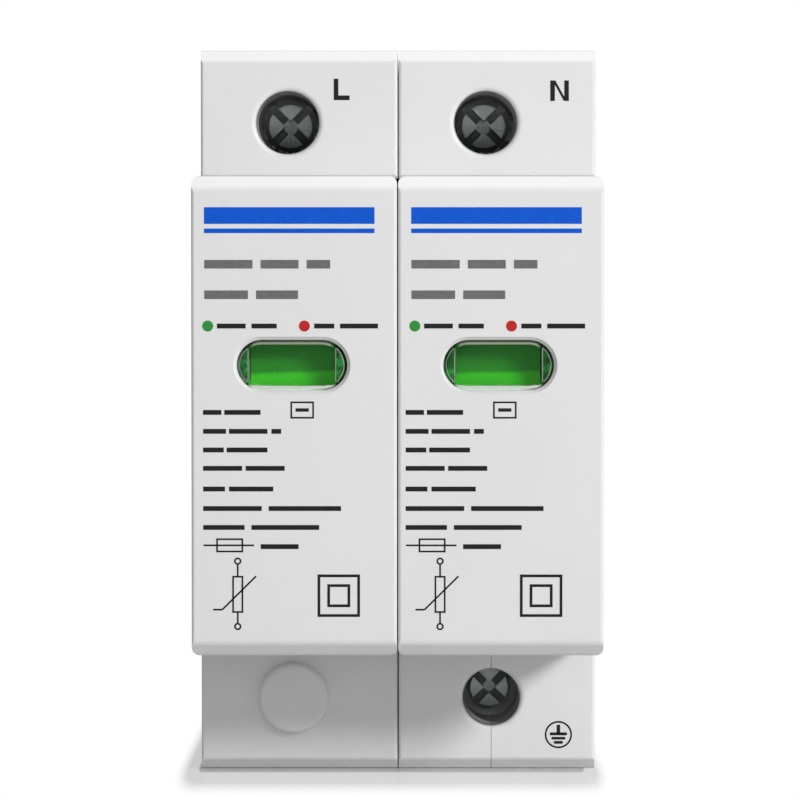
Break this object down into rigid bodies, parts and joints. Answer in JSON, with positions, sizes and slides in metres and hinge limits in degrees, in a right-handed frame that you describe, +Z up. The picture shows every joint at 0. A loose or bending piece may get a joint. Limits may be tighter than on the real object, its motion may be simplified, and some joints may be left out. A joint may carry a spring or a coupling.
{
  "type": "din rail surge arrester",
  "caption": "Pluggable surge protective device for a 35 mm rail: poles with screw clamp terminals and a latch, and plug-in modules with a status window over a thermal disconnector.",
  "frame": {"origin": "on the rail's centre line at the front of its flanges, midway between the poles", "axes": "+X along the rail to the right, +Z up, the front with the windows faces -Y"},
  "size_m": [0.036, 0.065, 0.0656],
  "materials": {
    "housing_white": "fine satin moulding, printed on the module fronts",
    "latch_grey": "satin moulding",
    "chassis_grey": "satin moulding",
    "lens_clear": "clear moulded plastic",
    "flag_green": "satin green",
    "lever_red": "satin red",
    "varistor_blue": "dipped epoxy coat",
    "screw_steel": "zinc plated, dull",
    "plated_steel": "zinc plated",
    "bright_steel": "bright drawn",
    "brass_strip": "rolled strip",
    "copper": "tinned copper edges, rolled strip",
    "solder": "low-melting solder"
  },
  "bodies": {
    "base": {"base_case_L": "housing_white", "base_case_N": "housing_white", "base_cover_L": "housing_white", "base_cover_N": "housing_white", "blank_plug": "housing_white", "pole_rivets": "bright_steel", "latch_spring_L": "bright_steel", "latch_spring_N": "bright_steel", "line_contact_L": "copper", "line_contact_N": "copper", "earth_contact_L": "copper", "earth_contact_N": "copper", "earth_link": "copper", "contact_clips": "bright_steel"},
    "module_L": {"module_case_L": "housing_white", "module_chassis_L": "chassis_grey", "window_lens_L": "lens_clear", "pivot_pin_L": "bright_steel", "trip_spring_L": "bright_steel", "flex_lead_L": "copper", "solder_bead_L": "solder", "varistor_L": "varistor_blue", "earth_electrode_L": "copper", "line_electrode_L": "copper", "line_blade_L": "copper"},
    "trip_L": {"trip_lever_L": "lever_red", "status_flag_L": "flag_green", "contact_arm_L": "brass_strip"},
    "latch_L": {"rail_latch_L": "latch_grey"},
    "module_N": {"module_case_N": "housing_white", "module_chassis_N": "chassis_grey", "window_lens_N": "lens_clear", "pivot_pin_N": "bright_steel", "trip_spring_N": "bright_steel", "flex_lead_N": "copper", "solder_bead_N": "solder", "varistor_N": "varistor_blue", "earth_electrode_N": "copper", "line_electrode_N": "copper", "line_blade_N": "copper"},
    "trip_N": {"trip_lever_N": "lever_red", "status_flag_N": "flag_green", "contact_arm_N": "brass_strip"},
    "latch_N": {"rail_latch_N": "latch_grey"},
    "screw_L": {"screw_L": "screw_steel"},
    "cage_L": {"cage_L": "plated_steel"},
    "screw_N": {"screw_N": "screw_steel"},
    "cage_N": {"cage_N": "plated_steel"},
    "screw_PE": {"screw_PE": "screw_steel"},
    "cage_PE": {"cage_PE": "plated_steel"}
  },
  "joints": [
    {"name": "module_L_pull", "type": "slide", "parent": "base", "child": "module_L", "axis": [0, -1, 0], "range_m": [0, 0.042]},
    {"name": "trip_L_swing", "type": "hinge", "parent": "module_L", "child": "trip_L", "pos_m": [-0.006, -0.037, 0.00447], "axis": [1, 0, 0], "range_deg": [0, 15.5], "deforming": ["trip_spring_L", "flex_lead_L"]},
    {"name": "latch_L_pull", "type": "slide", "parent": "base", "child": "latch_L", "axis": [0, 0, -1], "range_m": [0, 0.003], "stiffness_N_per_m": 1500, "springref_m": -0.002, "deforming": ["latch_spring_L"]},
    {"name": "module_N_pull", "type": "slide", "parent": "base", "child": "module_N", "axis": [0, -1, 0], "range_m": [0, 0.042]},
    {"name": "trip_N_swing", "type": "hinge", "parent": "module_N", "child": "trip_N", "pos_m": [0.012, -0.037, 0.00447], "axis": [1, 0, 0], "range_deg": [0, 15.5], "deforming": ["trip_spring_N", "flex_lead_N"]},
    {"name": "latch_N_pull", "type": "slide", "parent": "base", "child": "latch_N", "axis": [0, 0, -1], "range_m": [0, 0.003], "stiffness_N_per_m": 1500, "springref_m": -0.002, "deforming": ["latch_spring_N"]},
    {"name": "screw_L_turn", "type": "hinge", "parent": "base", "child": "screw_L", "pos_m": [-0.01005, -0.03, 0.0262], "axis": [0, 1, 0], "range_deg": [0, 2520]},
    {"name": "cage_L_lift", "type": "slide", "parent": "base", "child": "cage_L", "axis": [0, -1, 0], "range_m": [0, 0.0049]},
    {"name": "screw_N_turn", "type": "hinge", "parent": "base", "child": "screw_N", "pos_m": [0.00795, -0.03, 0.0262], "axis": [0, 1, 0], "range_deg": [0, 2520]},
    {"name": "cage_N_lift", "type": "slide", "parent": "base", "child": "cage_N", "axis": [0, -1, 0], "range_m": [0, 0.0049]},
    {"name": "screw_PE_turn", "type": "hinge", "parent": "base", "child": "screw_PE", "pos_m": [0.0085, -0.03, -0.0262], "axis": [0, 1, 0], "range_deg": [0, 2880]},
    {"name": "cage_PE_lift", "type": "slide", "parent": "base", "child": "cage_PE", "axis": [0, -1, 0], "range_m": [0, 0.0048]}
  ],
  "couplings": [
    {"joint": "screw_L_turn", "follows": "cage_L_lift", "rad_per_m": 8976},
    {"joint": "screw_N_turn", "follows": "cage_N_lift", "rad_per_m": 8976},
    {"joint": "screw_PE_turn", "follows": "cage_PE_lift", "rad_per_m": 10472}
  ]
}
